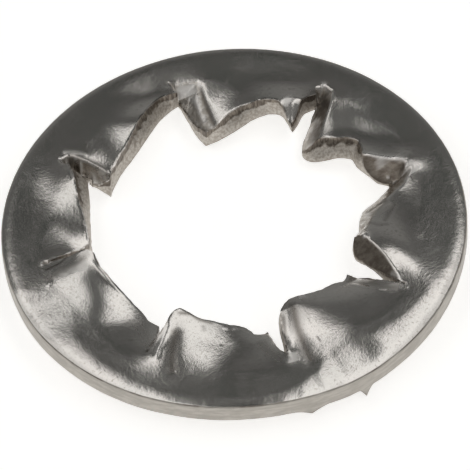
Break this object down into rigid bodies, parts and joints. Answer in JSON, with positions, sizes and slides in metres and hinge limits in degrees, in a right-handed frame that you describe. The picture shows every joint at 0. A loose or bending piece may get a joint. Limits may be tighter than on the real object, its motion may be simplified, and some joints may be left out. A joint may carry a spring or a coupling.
{
  "type": "internal tooth lock washer",
  "caption": "Flat ring lock washer with twisted teeth pointing into the opening, which bite under a screw head or nut and stop it working loose.",
  "frame": {"origin": "centre of the ring on the washer's axis, half way through the sheet thickness", "axes": "+Z along the axis of the screw, out of the upper face; the teeth are raised on one side and lowered on the other"},
  "size_m": [0.015, 0.015, 0.0017],
  "materials": {
    "steel": "bright pressed and tumbled stainless steel, matte where it was sheared"
  },
  "bodies": {
    "root": {"lock_washer": "steel"}
  },
  "joints": []
}
